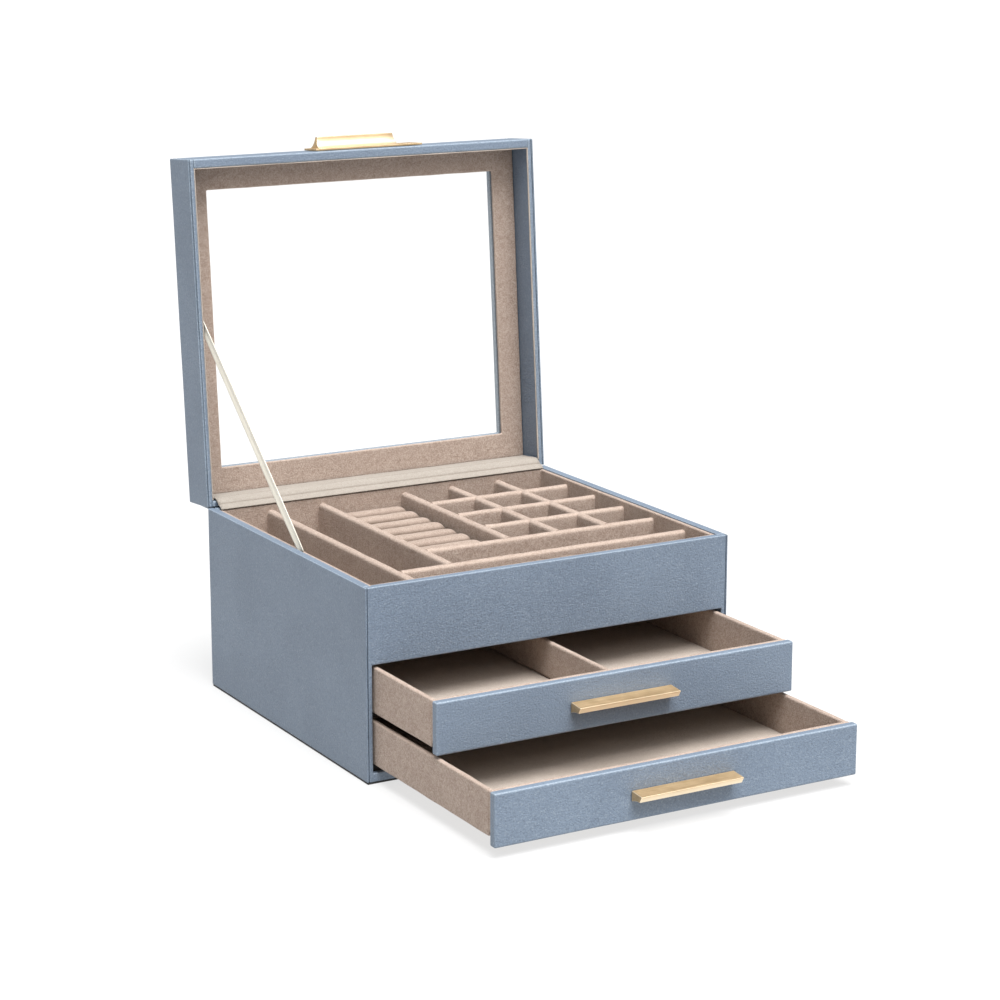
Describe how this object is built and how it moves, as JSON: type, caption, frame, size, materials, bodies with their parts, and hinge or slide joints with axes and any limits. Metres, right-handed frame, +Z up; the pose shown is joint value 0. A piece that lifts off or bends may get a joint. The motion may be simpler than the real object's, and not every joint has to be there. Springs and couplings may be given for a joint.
{
  "type": "jewelry box",
  "caption": "Table-top jewelry box with a hinged glass-window lid, a velvet-lined tray of lanes, cells and ring rolls, and pull-out drawers with metal bar pulls.",
  "frame": {"origin": "centre of the base's underside, on the surface the box stands on", "axes": "+X to the right seen from the front, -Y out of the front where the drawers open, +Z up"},
  "size_m": [0.235, 0.3945, 0.3263],
  "materials": {
    "leatherette": "satin, fine-grained blue-grey leatherette over board",
    "velvet": "short-pile taupe velvet over board",
    "ring_foam": "short-pile taupe velvet over soft foam",
    "dark_board": "matt dark paper-faced board",
    "base_felt": "matt black felt",
    "brass": "satin pale-gold metal",
    "glass": "clear polished",
    "satin": "cream satin ribbon"
  },
  "bodies": {
    "case": {"front_frame": "leatherette", "side_panel_left": "leatherette", "side_panel_right": "leatherette", "back_panel": "leatherette", "bottom_panel": "dark_board", "drawer_shelf": "dark_board", "tray_floor": "velvet", "base_felt": "base_felt", "tray_lining": "velvet", "partition_left_lane": "velvet", "partition_middle_lane": "velvet", "partition_ring_zone": "velvet", "partition_front_lane": "velvet", "partition_second_lane": "velvet", "partition_column_1": "velvet", "partition_column_2": "velvet", "partition_row_1": "velvet", "partition_row_2": "velvet", "partition_row_3": "velvet", "ring_roll_1": "ring_foam", "ring_roll_2": "ring_foam", "ring_roll_3": "ring_foam", "ring_roll_4": "ring_foam", "ring_roll_5": "ring_foam", "ring_roll_6": "ring_foam", "ring_roll_7": "ring_foam", "ring_roll_8": "ring_foam", "hinge_cover": "leatherette"},
    "lid": {"lid_front_wall": "leatherette", "lid_back_wall": "leatherette", "lid_left_wall": "leatherette", "lid_right_wall": "leatherette", "lid_top_frame": "leatherette", "lid_lining_panel": "velvet", "window_glass": "glass", "lid_pull": "brass", "lid_pull_screw_1": "brass", "lid_pull_screw_2": "brass", "hinge_cloth": "velvet", "stay_ribbon": "satin"},
    "upper_drawer": {"upper_drawer_front": "leatherette", "upper_drawer_inner_front": "velvet", "upper_drawer_floor": "velvet", "upper_drawer_back": "velvet", "upper_drawer_side_left": "velvet", "upper_drawer_side_right": "velvet", "upper_drawer_pull": "brass", "upper_drawer_pull_screw_1": "brass", "upper_drawer_pull_screw_2": "brass", "upper_drawer_divider": "velvet"},
    "lower_drawer": {"lower_drawer_front": "leatherette", "lower_drawer_inner_front": "velvet", "lower_drawer_floor": "velvet", "lower_drawer_back": "velvet", "lower_drawer_side_left": "velvet", "lower_drawer_side_right": "velvet", "lower_drawer_pull": "brass", "lower_drawer_pull_screw_1": "brass", "lower_drawer_pull_screw_2": "brass"}
  },
  "joints": [
    {"name": "lid_hinge", "type": "hinge", "parent": "case", "child": "lid", "pos_m": [0, 0.104, 0.11165], "axis": [1, 0, 0], "range_deg": [0, 94.4], "deforming": ["hinge_cloth", "hinge_cover", "stay_ribbon"]},
    {"name": "upper_drawer_slide", "type": "slide", "parent": "case", "child": "upper_drawer", "axis": [0, -1, 0], "range_m": [-0.0718, 0.09]},
    {"name": "lower_drawer_slide", "type": "slide", "parent": "case", "child": "lower_drawer", "axis": [0, -1, 0], "range_m": [-0.1327, 0.029]}
  ]
}
